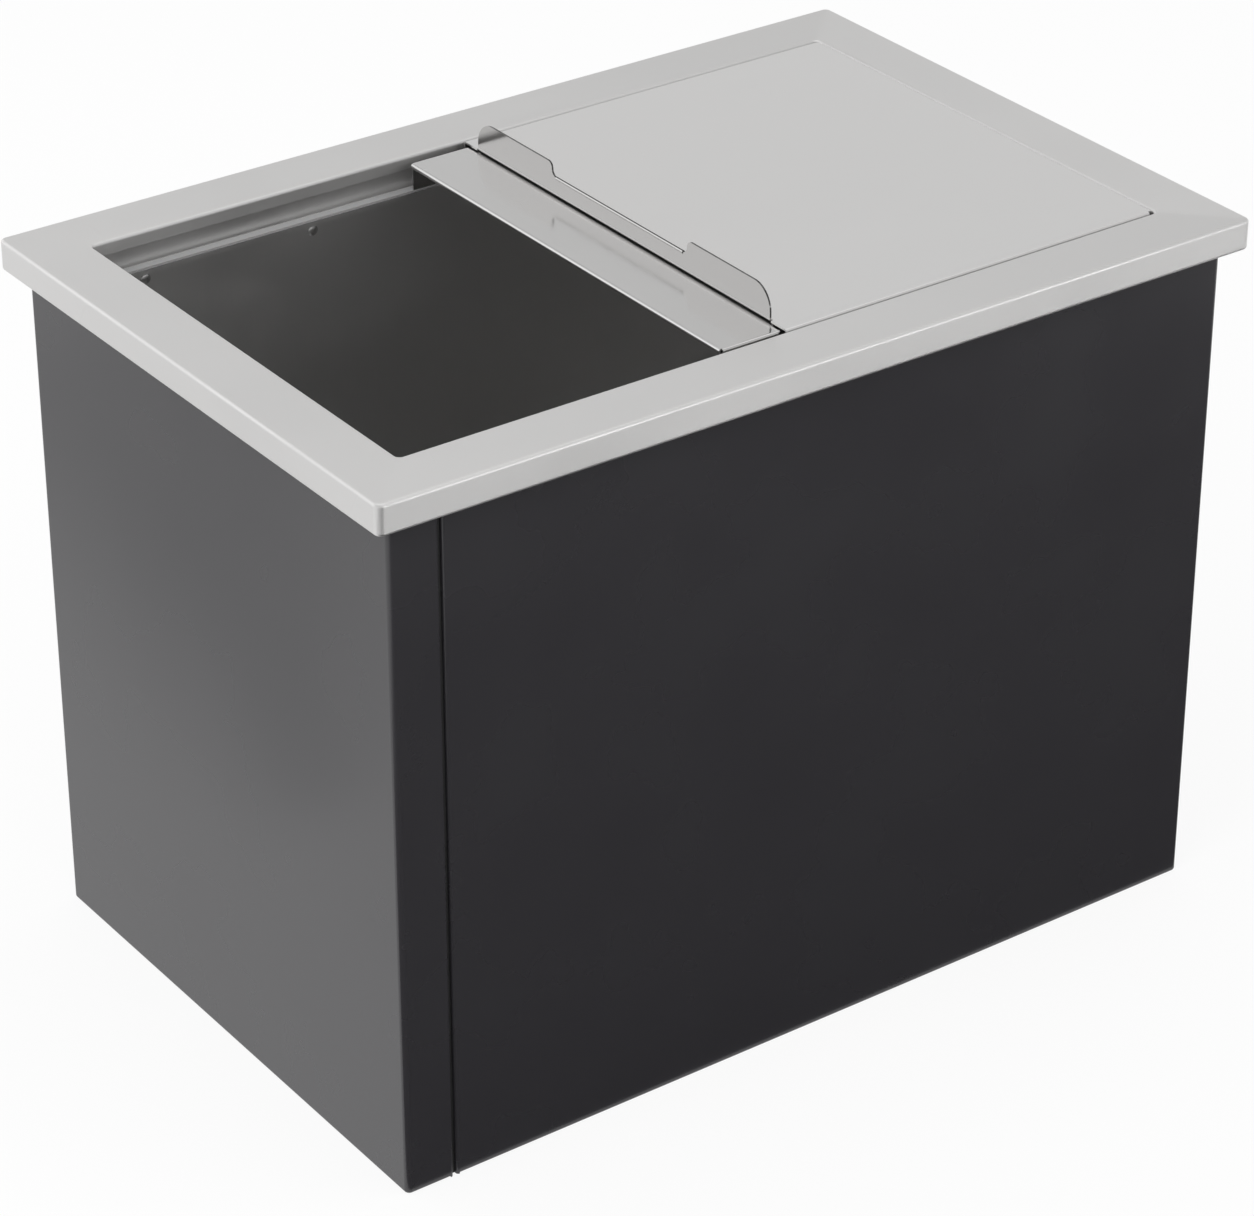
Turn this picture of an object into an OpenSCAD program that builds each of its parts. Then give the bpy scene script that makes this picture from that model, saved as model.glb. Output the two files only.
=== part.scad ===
// Drop-in ice bin with a two-panel sliding cover.
// Origin: centre of the footprint, on the plane that the casing stands on.
// +X to the right along the front, +Y to the back, +Z up. Millimetres.

/* [Overall] */
// Length of the rim, left to right
frame_l = 530; // [440:5:700]
// Width of the rim, front to back
frame_w = 352; // [300:1:460]
// Height of the rim's top face over the floor
frame_h = 395; // [330:5:480]
// Thickness of the stainless and painted sheets
sheet = 1; // [0.8:0.1:1.2]

/* [Rim] */
// Flat width of the rim at the left and right ends
rim_end = 34; // [32:0.5:45]
// Flat width of the rim at the front and back
rim_side = 35; // [30:0.5:42]
// Drop of the rim's outer skirt
skirt_d = 16.8; // [12:0.1:24]
// Corner radius of the rim's outline
frame_r = 4; // [3:0.5:6]
// Outer radius of the rim's folds
fold_r = 1.8; // [1.5:0.1:2.2]
// Width of the skirt's folded lower edge
hem_w = 4; // [3:0.5:6]
// Corner radius of the mouth
mouth_r = 2.5; // [2:0.5:5]
// Drop of the throat that is folded down round the mouth
throat_d = 7.5; // [5:0.5:7.5]
// Thickness of the sealing tape under the rim
rim_seal_t = 1; // [0.8:0.1:1.5]

/* [Casing] */
// Overhang of the rim past the casing at the ends
overhang_x = 11; // [9:0.5:13]
// Overhang of the rim past the casing at the front and back
overhang_y = 9.5; // [8:0.5:11]
// Outer radius of the casing's folds
case_fold_r = 1.6; // [1.4:0.1:2]
// Corner radius of the casing
case_r = 3; // [2.5:0.5:5]
// Width of the casing's flange under the tub's flange
case_top_flange = 13; // [10:1:14]
// Width of the casing's flange on the floor
case_foot_flange = 14; // [10:1:20]
// How far the left casing comes round the front and back corners
wrap_w = 27.6; // [20:0.2:60]
// Width of the seam between the two casings
seam_w = 2; // [1.5:0.5:4]
// Depth of the flanges that meet at the seam
seam_flange = 10; // [9:0.5:14]
// How far the seam's seal lies back from the casing's face
seal_back = 2.5; // [1.5:0.5:4]
// Number of rivets along each seam
seam_rivet_n = 4; // [2:1:6]
// Distance of the seams' end rivets from the floor and from the rim
seam_rivet_end = 60; // [40:5:80]

/* [Tub] */
// Clearance between the throat and the tub's wall
throat_gap = 0.2; // [0.1:0.1:0.4]
// Height of the tub's floor over the base panel
base_foam_t = 22; // [20:1:30]
// Width of the flange that hangs the tub from the rim
tub_flange = 17; // [15:0.5:18]
// Outer radius of the fold from the tub's walls to its floor
tub_fold_r = 3; // [2:0.5:4.5]

/* [Lids] */
// Left edge of the upper lid, from the mouth's left end
upper_at = 225; // [200:1:260]
// Gap between the upper lid and the throat
lid_gap = 1.2; // [0.6:0.1:1.5]
// Outer radius of the lids' folds
lid_fold_r = 1.5; // [1.3:0.1:1.8]
// Length of the corner cuts at the lids' right ends
lid_relief = 2; // [1:0.5:4]
// How far the lower lid's left edge stands out of the upper lid
lower_out = 37; // [20:1:60]
// Drop of the lower lid's top face under the rim's top face
lower_drop = 1.8; // [1.6:0.1:2.6]
// Gap between the upper lid's folded side and the lower lid
nest_gap = 2.5; // [1.5:0.1:3]
// Running gap between the lids and the strips that they slide on
slide_gap = 0.2; // [0.1:0.1:0.4]
// Height of the lower lid's rolled left edge
roll_h = 3.2; // [2.6:0.1:4]
// Width of the folded edges under the lower lid's ends
lid_hem = 9; // [6:1:14]

/* [Lip of the upper lid] */
// Height of the lip's ears over the lid
lip_h = 17; // [14:0.5:24]
// Height of the lip's lower middle
lip_mid_h = 9.7; // [7:0.1:10]
// How far the lip's ends lie in from the mouth's sides
lip_inset = 14.5; // [8:0.5:30]
// Length of each ear
ear_l = 68; // [50:1:90]
// Radius of the ears' outer corners
ear_r = 13; // [8:0.5:14]
// Radius of the ears' inner corners
ear_in_r = 3.5; // [2:0.5:3.5]
// Radius of the rolled edge along the lip's middle
lip_roll_r = 0.9; // [0.8:0.1:1.2]

/* [Rails] */
// Depth of the rails' tread under the rim's top face
tread_d = 18.5; // [16:0.5:24]
// Width of the rails' tread, from the throat inwards
tread_w = 6; // [5.8:0.1:12]
// Thickness of the glide strips on the rails
glide_t = 1; // [0.8:0.1:1.5]
// Height of the rails' leg on the tub's wall
rail_leg = 14; // [12:1:24]
// Height of the small turned-down edge of the rails
rail_lip = 3; // [2:0.5:5]
// Number of rivets along each rail
rail_rivet_n = 5; // [2:1:8]
// Distance of the rails' end rivets from the mouth's ends
rail_rivet_end = 30; // [20:1:50]

/* [Rivets and screws] */
// Radius of the rivets' shanks
rivet_r = 1.6; // [1.2:0.1:2]
// Radius of the rivets' heads
rivet_head_r = 3; // [2.4:0.1:3.2]
// Height of the rivets' heads
rivet_head_h = 1; // [0.8:0.1:1.2]
// Clearance round the rivets and screws
hole_gap = 0.1; // [0.05:0.05:0.3]
// Rivets of the tub's flange along the front, and as many along the back
flange_rivet_nx = 4; // [2:1:6]
// Rivets of the tub's flange along each end
flange_rivet_ny = 3; // [2:1:4]
// Distance of the flange's end rivets from the mouth's corners
flange_rivet_end = 38; // [30:1:50]

/* [Base] */
// Height of the base panel's underside over the floor
recess_h = 28; // [24:1:40]
// Depth of the base panel's turned-down edge
base_edge = 10; // [6:1:16]
// Gap between the base panel and the casing
base_gap = 0.5; // [0.3:0.1:1]
// Height of the cleats' legs on the casing
cleat_leg = 14; // [12:1:18]
// Length of the cleats' legs over the base panel
cleat_foot = 25; // [23:1:32]
// Width of the cleats
cleat_w = 20; // [16:1:30]
// Thickness of the cleats
cleat_t = 1.5; // [1.2:0.1:2]
// Distance of the front and back cleats from the middle
cleat_x = 150; // [120:5:180]
// Radius of the base screws
screw_r = 2; // [1.5:0.25:2.5]
// Length of the base screws under the head
screw_l = 7; // [6:0.5:9]

/* [Drain] */
// Place of the drain, left to right
drain_x = -140; // [-160:5:-100]
// Place of the drain, front to back
drain_y = 0; // [-40:5:40]
// Inner radius of the round dish in the tub's floor
dish_r = 36; // [34:1:44]
// Depth of the dish
dish_d = 5; // [4.5:0.5:7]
// Radius of the drain's flange
drain_flange_r = 30; // [28:0.5:32]
// Thickness of the drain's flange
drain_flange_t = 2.5; // [2:0.1:3]
// Radius of the drain's threaded shank
shank_r = 22; // [21:0.5:24]
// Radius of the drain's spigot, for the hose
spigot_r = 9.5; // [8:0.5:10]
// Bore of the spigot
bore_r = 7.5; // [5:0.5:7.5]
// Length of the spigot under the drain's neck
spigot_l = 18; // [12:1:18]
// Depth of the cup that the plug sits in
cup_d = 8; // [7:0.5:9]
// Radius of the cup
cup_r = 16; // [14:0.5:17]
// Thickness of the gasket under the drain's flange
gasket_t = 1.5; // [1:0.1:2]
// Height of the locknut
nut_h = 7; // [5:0.5:7.5]
// Radius of the plug's flange
plug_flange_r = 20; // [18.5:0.5:24]
// Height of the plug's knob
knob_h = 12; // [8:1:18]

/* [Hidden] */
$fn = 48;
eps = 0.01;
flange_corner_r = 0.5;

// Mouth, and the half sizes that everything inside is placed by
mouth_l = frame_l - 2 * rim_end;
mouth_w = frame_w - 2 * rim_side;
mouth_hx = mouth_l / 2;
mouth_hy = mouth_w / 2;

// Casing outline and the levels of the stack under the rim
case_l = frame_l - 2 * overhang_x;
case_w = frame_w - 2 * overhang_y;
case_hx = case_l / 2;
case_hy = case_w / 2;
case_in_hx = case_hx - sheet;
case_in_hy = case_hy - sheet;
tub_flange_z = frame_h - sheet - rim_seal_t - sheet;
case_top = tub_flange_z;
case_flange_z = case_top - sheet;

// Tub: its wall stands just outside the throat
tub_in_l = mouth_l + 2 * (sheet + throat_gap);
tub_in_w = mouth_w + 2 * (sheet + throat_gap);
tub_l = tub_in_l + 2 * sheet;
tub_w = tub_in_w + 2 * sheet;
tub_r = mouth_r + 2 * sheet + throat_gap;
tub_in_hy = tub_in_w / 2;
tub_in_r = tub_r - sheet;
base_top = recess_h + sheet;
tub_z = base_top + base_foam_t;
tub_floor = tub_z + sheet;
tub_flange_l = tub_l + 2 * tub_flange;
tub_flange_w = tub_w + 2 * tub_flange;

// Seams between the casings
seam_l = -case_hx + wrap_w;
seam_r = seam_l + seam_w;
seam_rivet_share = 0.65;
seam_rivet_y = case_hy - seam_rivet_share * seam_flange;
seam_z0 = seam_rivet_end;
seam_z1 = frame_h - seam_rivet_end;

// Lids, in their stored place at the right
lid_right = mouth_hx - lid_gap;
upper_left = -mouth_hx + upper_at;
upper_hy = mouth_hy - lid_gap;
lower_left = upper_left - lower_out;
lower_hy = upper_hy - sheet - nest_gap;
tread_z = frame_h - tread_d;
glide_z = tread_z + glide_t;
flange_bottom = glide_z + slide_gap;
lower_top = frame_h - lower_drop;
tread_hy = mouth_hy - tread_w;
lip_hy = mouth_hy - lip_inset;
lip_mid_hy = lip_hy - ear_l;
rail_l = tub_in_l - 2 * tub_in_r;
lip_relief = 1;
hem_drop_sheets = 1.8;
glide_edge = 0.3;

// Rivets of the rails and of the tub's flange
rivet_taper = 0.75;
rail_rivet_share = 0.6;
rail_rivet_z = tread_z - rail_rivet_share * rail_leg;
rail_rivet_x = [for (i = [0 : rail_rivet_n - 1])
                (i / (rail_rivet_n - 1) - 0.5) * (mouth_l - 2 * rail_rivet_end)];
flange_lap_x = (case_hx - case_top_flange + tub_flange_l / 2) / 2;
flange_lap_y = (case_hy - case_top_flange + tub_flange_w / 2) / 2;
flange_rivet_x = [for (i = [0 : flange_rivet_nx - 1])
                  (i / (flange_rivet_nx - 1) - 0.5) * (mouth_l - 2 * flange_rivet_end)];
flange_rivet_y = [for (i = [0 : flange_rivet_ny - 1])
                  (i / (flange_rivet_ny - 1) - 0.5) * (mouth_w - 2 * flange_rivet_end)];
flange_rivet_at = concat(
    [for (x = flange_rivet_x, s = [-1, 1]) [x, s * flange_lap_y]],
    [for (y = flange_rivet_y, s = [-1, 1]) [s * flange_lap_x, y]]);
seam_rivet_z = [for (i = [0 : seam_rivet_n - 1])
                seam_z0 + (seam_z1 - seam_z0) * i / (seam_rivet_n - 1)];

// Insulation
pocket_gap = 0.5;
foam_top = case_flange_z - rivet_head_h - pocket_gap;

// Base cleats: four along the sides, two at the ends, each turned to its wall
cleat_at = [[-cleat_x, -case_in_hy, 90], [cleat_x, -case_in_hy, 90],
            [-cleat_x, case_in_hy, -90], [cleat_x, case_in_hy, -90],
            [-case_in_hx, 0, 0], [case_in_hx, 0, 180]];
cleat_hole_in = 7;
cleat_hole = cleat_foot - cleat_hole_in;
screw_head_r = 1.9 * screw_r;
screw_head_h = 1.2 * screw_r;
screw_taper = 0.8;

// Drain levels, from the dish down
dish_floor = tub_floor - dish_d;
dish_z = dish_floor - sheet;
drain_seat = dish_floor + gasket_t;
drain_top = drain_seat + drain_flange_t;
washer_t = 1.5;
nut_top = dish_z - washer_t;
nut_z = nut_top - nut_h;
shank_gap = 0.05;
nut_over = 0.5;
nut_r = drain_flange_r + nut_over;
nut_notch_w = 5;
nut_notch_d = 2;
seal_in = 1;
neck_step = 1.5;
neck_r = spigot_r + neck_step;
thread_end = 1;
neck_top = nut_z - thread_end;
cone_h = 5;
neck_out = 4;
neck_z = recess_h - neck_out;
spigot_tip = 1;
spigot_z = neck_z - spigot_l - spigot_tip;
drain_hole_r = dish_r + sheet + pocket_gap;
cross_web = 2;

// Grommet in the base panel, round the drain's neck
grommet_lip = 1.5;
grommet_wall = 2.5;
grommet_flange = 5;
grommet_r = neck_r + grommet_flange;
panel_hole_r = neck_r + grommet_wall;

// Plug, from its foot up
plug_gap = 0.3;
plug_r = cup_r - plug_gap;
plug_lift = 1.5;
plug_chamfer = 1.5;
plug_flange_t = 2;
knob_r = 5;
knob_top_r = 8;
knob_top_h = 4;

// A flat outline with round corners
module rounded_rect(l, w, r) {
    square([l - 2 * r, w], center = true);
    square([l, w - 2 * r], center = true);
    for (x = [-1, 1], y = [-1, 1])
        translate([x * (l / 2 - r), y * (w / 2 - r)]) circle(r);
}

// A flat ring between two such outlines
module flat_ring(l, w, r, in_l, in_w, in_r, t) {
    linear_extrude(t) difference() {
        rounded_rect(l, w, r);
        rounded_rect(in_l, in_w, in_r);
    }
}

// Carries a profile round a rectangle of size l by w with corner radius r.
// The profile's x runs outwards from the rectangle's line and its y is the height.
module around(l, w, r) {
    for (a = [0, 90, 180, 270]) {
        half = (a % 180 == 0) ? l / 2 : w / 2;
        side = ((a % 180 == 0) ? w : l) - 2 * r;
        rotate([0, 0, a]) translate([half, 0, 0]) rotate([90, 0, 0])
            linear_extrude(side, center = true) children();
    }
    for (x = [-1, 1], y = [-1, 1]) {
        turn = (x > 0) ? ((y > 0) ? 0 : 270) : ((y > 0) ? 90 : 180);
        translate([x * (l / 2 - r), y * (w / 2 - r), 0]) rotate([0, 0, turn])
            rotate_extrude(angle = 90) translate([r, 0]) children();
    }
}

// Quarter of a ring, the section of a fold, in the quadrant that sx and sy name
module fold2d(r, sx, sy, t = sheet) {
    intersection() {
        difference() {
            circle(r);
            circle(r - t);
        }
        translate([(sx > 0) ? 0 : -r, (sy > 0) ? 0 : -r]) square(r);
    }
}

// Section of a folded wall: flange in at the top, wall, flange in at the foot
module channel2d(h, top_w, foot_w, r) {
    translate([-top_w, h - sheet]) square([top_w - r, sheet]);
    translate([-r, h - r]) fold2d(r, 1, 1);
    translate([-sheet, r]) square([sheet, h - 2 * r]);
    translate([-r, r]) fold2d(r, 1, -1);
    translate([-foot_w, 0]) square([foot_w - r, sheet]);
}

// Rivet along +Z: head from z = -h, shank through l, formed head above
module rivet(l) {
    face_r = rivet_head_r * rivet_taper;
    translate([0, 0, -rivet_head_h]) cylinder(rivet_head_h, face_r, rivet_head_r);
    cylinder(l, r = rivet_r);
    translate([0, 0, l]) cylinder(rivet_head_h, rivet_head_r, face_r);
}

// Rim, outer skirt with its folded lower edge, and the throat
module top_frame() {
    color("gainsboro") {
        translate([0, 0, frame_h - skirt_d]) around(frame_l, frame_w, frame_r)
            channel2d(skirt_d, frame_r, min(hem_w, frame_r), fold_r);
        translate([0, 0, frame_h - sheet])
            flat_ring(frame_l - 2 * fold_r, frame_w - 2 * fold_r, frame_r - fold_r,
                      mouth_l + 2 * fold_r, mouth_w + 2 * fold_r, mouth_r + fold_r, sheet);
        translate([0, 0, frame_h]) around(mouth_l, mouth_w, mouth_r) {
            translate([fold_r, -fold_r]) fold2d(fold_r, -1, 1);
            translate([0, -throat_d]) square([sheet, throat_d - fold_r]);
        }
        translate([0, 0, frame_h - skirt_d])
            flat_ring(frame_l - 2 * fold_r, frame_w - 2 * fold_r, frame_r - fold_r,
                      frame_l - 2 * hem_w, frame_w - 2 * hem_w, flange_corner_r, sheet);
    }
}

// Sealing tape between the rim and the tub's flange
module rim_seal() {
    color("dimgray") translate([0, 0, tub_flange_z + sheet]) difference() {
        flat_ring(tub_flange_l, tub_flange_w, tub_r, tub_in_l + 2 * fold_r, tub_in_w + 2 * fold_r,
                  tub_r, rim_seal_t);
        for (p = flange_rivet_at)
            translate([p.x, p.y, -eps])
                cylinder(rim_seal_t + 2 * eps, r = rivet_head_r + hole_gap);
    }
}

// Tub: flange, walls folded into the floor, and the drain's dish
module inner_tub() {
    color("silver") difference() {
        union() {
            around(tub_l, tub_w, tub_r) {
                translate([-sheet, tub_z + tub_fold_r])
                    square([sheet, tub_flange_z + sheet - tub_z - tub_fold_r]);
                translate([-tub_fold_r, tub_z + tub_fold_r]) fold2d(tub_fold_r, 1, -1);
            }
            translate([0, 0, tub_flange_z])
                flat_ring(tub_flange_l, tub_flange_w, tub_r, tub_l - sheet, tub_w - sheet,
                          tub_r - sheet / 2, sheet);
            translate([0, 0, tub_z]) linear_extrude(sheet)
                rounded_rect(tub_l - 2 * tub_fold_r, tub_w - 2 * tub_fold_r,
                             tub_r - tub_fold_r + eps);
            translate([drain_x, drain_y, dish_z])
                cylinder(tub_floor - dish_z, r = dish_r + sheet);
        }
        translate([drain_x, drain_y, dish_floor]) cylinder(dish_d + eps, r = dish_r);
        translate([drain_x, drain_y, dish_z - eps])
            cylinder(sheet + 2 * eps, r = shank_r + hole_gap);
        for (p = flange_rivet_at)
            translate([p.x, p.y, tub_flange_z - eps])
                cylinder(sheet + 2 * eps, r = rivet_r + hole_gap);
        for (x = rail_rivet_x, s = [-1, 1])
            translate([x, s * tub_in_hy, rail_rivet_z]) rotate([90, 0, 0])
                cylinder(4 * sheet, r = rivet_r + hole_gap, center = true);
    }
}

// Both casings' walls, top flange and foot flange as one ring, before it is parted
module casing_ring() {
    around(case_l, case_w, case_r)
        channel2d(case_top, case_r, case_r, case_fold_r);
    for (level = [[0, case_foot_flange], [case_flange_z, case_top_flange]])
        translate([0, 0, level[0]])
            flat_ring(case_l - 2 * case_fold_r, case_w - 2 * case_fold_r,
                      case_r - case_fold_r, case_l - 2 * level[1], case_w - 2 * level[1],
                      flange_corner_r, sheet);
}

// Plan of the fold and flange that end a casing at the front seam.
// The flange's outer face is at x = 0 and the sheet lies on the -X side.
module seam_edge2d() {
    translate([-case_fold_r, case_fold_r]) fold2d(case_fold_r, 1, -1);
    translate([-sheet, case_fold_r]) square([sheet, seam_flange - case_fold_r]);
}

// That edge at the front and at the back, at place x
module seam_edges(x) {
    for (back = [0, 1])
        mirror([0, back, 0]) translate([x, -case_hy, 0])
            linear_extrude(case_top) seam_edge2d();
}

module seam_holes() {
    for (z = seam_rivet_z, s = [-1, 1])
        translate([(seam_l + seam_r) / 2, s * seam_rivet_y, z]) rotate([0, 90, 0])
            cylinder(seam_w + 4 * sheet, r = rivet_r + hole_gap, center = true);
}

module flange_holes() {
    for (p = flange_rivet_at)
        translate([p.x, p.y, case_flange_z - eps])
            cylinder(sheet + 2 * eps, r = rivet_r + hole_gap);
}

// Left end panel, wrapped round the front and back corners
module left_casing() {
    cut = seam_l - case_fold_r;
    color([0.2, 0.2, 0.21]) difference() {
        union() {
            intersection() {
                casing_ring();
                translate([-frame_l, -frame_w, -eps]) cube([frame_l + cut, 2 * frame_w, frame_h]);
            }
            seam_edges(seam_l);
        }
        seam_holes();
        flange_holes();
    }
}

// Front, right and back panels
module main_casing() {
    cut = seam_r + case_fold_r;
    color([0.16, 0.16, 0.17]) difference() {
        union() {
            intersection() {
                casing_ring();
                translate([cut, -frame_w, -eps]) cube([frame_l, 2 * frame_w, frame_h]);
            }
            mirrored_seam_edges();
        }
        seam_holes();
        flange_holes();
    }
}

// The main casing's edge is the left casing's edge turned over the seam
module mirrored_seam_edges() {
    translate([seam_r, 0, 0]) mirror([1, 0, 0]) seam_edges(0);
}

// Strip of seal between the seam's flanges, on side s
module seam_seal(s) {
    depth = seam_flange - seal_back;
    color([0.06, 0.06, 0.06]) difference() {
        translate([seam_l, (s > 0) ? case_hy - seam_flange : -case_hy + seal_back, 0])
            cube([seam_w, depth, case_top]);
        seam_holes();
    }
}

module front_seam_seal() {
    seam_seal(-1);
}

module back_seam_seal() {
    seam_seal(1);
}

module seam_rivets() {
    color("gray") for (z = seam_rivet_z, s = [-1, 1])
        translate([seam_l - sheet, s * seam_rivet_y, z]) rotate([0, 90, 0])
            rivet(seam_w + 2 * sheet);
}

module flange_rivets() {
    color("gray") for (p = flange_rivet_at)
        translate([p.x, p.y, case_flange_z]) rivet(2 * sheet);
}

// Rail at the back: tread, leg on the tub's wall and a small turned-down edge
module rail() {
    difference() {
        union() {
            translate([-rail_l / 2, tread_hy, tread_z - sheet])
                cube([rail_l, tub_in_hy - tread_hy, sheet]);
            translate([-rail_l / 2, tub_in_hy - sheet, tread_z - rail_leg])
                cube([rail_l, sheet, rail_leg]);
            translate([-rail_l / 2, tread_hy, tread_z - rail_lip])
                cube([rail_l, sheet, rail_lip]);
        }
        for (x = rail_rivet_x)
            translate([x, tub_in_hy, rail_rivet_z]) rotate([90, 0, 0])
                cylinder(4 * sheet, r = rivet_r + hole_gap, center = true);
    }
}

module front_lid_rail() {
    color("silver") mirror([0, 1, 0]) rail();
}

module back_lid_rail() {
    color("silver") rail();
}

// Glide strip on the back rail's tread
module glide_strip() {
    translate([-rail_l / 2, tread_hy + glide_edge, tread_z])
        cube([rail_l, mouth_hy - tread_hy - 2 * glide_edge, glide_t]);
}

module front_glide_strip() {
    color("lightgray") mirror([0, 1, 0]) glide_strip();
}

module back_glide_strip() {
    color("lightgray") glide_strip();
}

module rail_rivets() {
    color("silver") for (x = rail_rivet_x, back = [0, 1])
        mirror([0, back, 0]) translate([x, -tub_in_hy - sheet, rail_rivet_z])
            rotate([-90, 0, 0]) rivet(2 * sheet);
}

// Lid plate from plate_x to the right stop, with sides folded down to z1 that run from
// x0 to the corner cuts
module lid_pan(x0, plate_x, top, hy, z1) {
    h = top - z1;
    r = lid_fold_r;
    translate([plate_x, -hy + r, top - sheet])
        cube([lid_right - plate_x, 2 * (hy - r), sheet]);
    for (back = [0, 1])
        mirror([0, back, 0]) translate([x0, hy, z1]) rotate([90, 0, 90])
            linear_extrude(lid_right - lid_relief - x0) {
                translate([-r, h - r]) fold2d(r, 1, 1);
                translate([-sheet, 0]) square([sheet, h - r]);
            }
}

// Outline of the upright lip over the lid's top, seen from the left: two ears and a
// lower middle. It starts at height foot, where the fold from the plate ends.
module lip2d(foot) {
    depth = lip_h - lip_mid_h;
    difference() {
        union() {
            translate([-lip_hy, foot]) square([2 * lip_hy, lip_h - ear_r - foot]);
            translate([-lip_hy + ear_r, foot]) square([2 * (lip_hy - ear_r), lip_h - foot]);
            for (s = [-1, 1])
                translate([s * (lip_hy - ear_r), lip_h - ear_r]) circle(ear_r);
        }
        translate([-lip_mid_hy + ear_in_r, lip_mid_h])
            square([2 * (lip_mid_hy - ear_in_r), depth + eps]);
        translate([-lip_mid_hy, lip_mid_h + ear_in_r])
            square([2 * lip_mid_hy, depth - ear_in_r + eps]);
        for (s = [-1, 1]) {
            translate([s * (lip_mid_hy - ear_in_r), lip_mid_h + ear_in_r]) circle(ear_in_r);
            translate([s * lip_mid_hy, lip_h]) ear_round2d(s);
        }
        translate([-frame_w, foot - 2 * ear_r]) square([2 * frame_w, 2 * ear_r]);
    }
}

// What comes off an ear's inner top corner to round it
module ear_round2d(s) {
    difference() {
        translate([(s > 0) ? -eps : -ear_in_r, -ear_in_r])
            square([ear_in_r + eps, ear_in_r + eps]);
        translate([s * ear_in_r, -ear_in_r]) circle(ear_in_r);
    }
}

// Upper lid: plate flush with the rim, folded sides and the lip at the left
module upper_lid() {
    r = lid_fold_r;
    foot = r - sheet;
    color("gainsboro") {
        lid_pan(upper_left, upper_left + r, frame_h, upper_hy, flange_bottom);
        for (s = [-1, 1])
            translate([upper_left + (r + eps) / 2, s * (lip_hy + lip_relief + upper_hy - r) / 2,
                       frame_h - sheet / 2])
                cube([r + eps, upper_hy - r - lip_hy - lip_relief, sheet], center = true);
        translate([upper_left + r, 0, frame_h + foot]) rotate([90, 0, 0])
            linear_extrude(2 * lip_hy, center = true) fold2d(r, -1, -1);
        translate([upper_left, 0, frame_h]) rotate([90, 0, 90])
            linear_extrude(sheet) lip2d(foot);
        translate([upper_left + sheet / 2, -lip_mid_hy + ear_in_r,
                   frame_h + lip_mid_h - lip_roll_r / 2]) rotate([-90, 0, 0])
            cylinder(2 * (lip_mid_hy - ear_in_r), r = lip_roll_r);
    }
}

// Lower lid: plate under the upper lid, folded sides and a rolled left edge
module lower_lid() {
    r = lid_fold_r;
    nose = roll_h / 2;
    color("lightgray") {
        lid_pan(lower_left + nose, lower_left + nose, lower_top, lower_hy, flange_bottom);
        translate([lower_left + nose, 0, lower_top - nose]) rotate([90, 0, 0])
            linear_extrude(2 * (lower_hy - r), center = true) {
                fold2d(nose, -1, 1);
                fold2d(nose, -1, -1);
                translate([0, -nose]) square([lid_hem, sheet]);
            }
        translate([lid_right - lid_hem, -lower_hy + 2 * r, lower_top - hem_drop_sheets * sheet])
            cube([lid_hem, 2 * (lower_hy - 2 * r), sheet]);
    }
}

// Space between the tub and the casing, in plan
module foam_ring2d() {
    difference() {
        rounded_rect(2 * case_in_hx, 2 * case_in_hy, case_r - sheet);
        rounded_rect(tub_l, tub_w, tub_r);
    }
}

// Pockets round the rivets and flanges that reach into the insulation
module foam_pockets() {
    r = rivet_head_r + pocket_gap;
    for (x = rail_rivet_x, s = [-1, 1])
        translate([x, s * (tub_w / 2 + (rivet_head_h + pocket_gap) / 2 - eps), rail_rivet_z])
            rotate([90, 0, 0]) cylinder(rivet_head_h + pocket_gap, r = r, center = true);
    pocket_w = seam_w + 2 * (sheet + rivet_head_h + pocket_gap);
    for (s = [-1, 1])
        translate([(seam_l + seam_r) / 2, s * (case_hy - seam_flange / 2), frame_h / 2])
            cube([pocket_w, seam_flange + 2 * pocket_gap, 2 * frame_h], center = true);
}

// Insulation board of the front (s = -1) or back (s = 1)
module side_board(s) {
    color("cornsilk") difference() {
        translate([0, 0, tub_z]) linear_extrude(foam_top - tub_z) intersection() {
            foam_ring2d();
            translate([-frame_l, (s > 0) ? tub_w / 2 : -frame_w - tub_w / 2])
                square([2 * frame_l, frame_w]);
        }
        foam_pockets();
    }
}

// Insulation board of the left (s = -1) or right (s = 1)
module end_board(s) {
    color("cornsilk") translate([0, 0, tub_z]) linear_extrude(foam_top - tub_z)
        intersection() {
            foam_ring2d();
            translate([(s > 0) ? tub_l / 2 : -frame_l - tub_l / 2, -tub_w / 2])
                square([frame_l, tub_w]);
        }
}

module front_insulation() {
    side_board(-1);
}

module back_insulation() {
    side_board(1);
}

module left_insulation() {
    end_board(-1);
}

module right_insulation() {
    end_board(1);
}

// Insulation under the tub, clear of the drain, the cleats and the seams
module base_insulation() {
    color("cornsilk") difference() {
        translate([0, 0, base_top]) linear_extrude(base_foam_t)
            rounded_rect(2 * case_in_hx, 2 * case_in_hy, case_r - sheet);
        translate([drain_x, drain_y, base_top - eps])
            cylinder(base_foam_t + 2 * eps, r = drain_hole_r);
        for (c = cleat_at)
            translate([c.x, c.y, base_top - eps]) rotate([0, 0, c.z])
                translate([-eps, -cleat_w / 2 - pocket_gap, 0])
                cube([cleat_foot + pocket_gap, cleat_w + 2 * pocket_gap,
                      cleat_leg + pocket_gap]);
        foam_pockets();
    }
}

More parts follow.
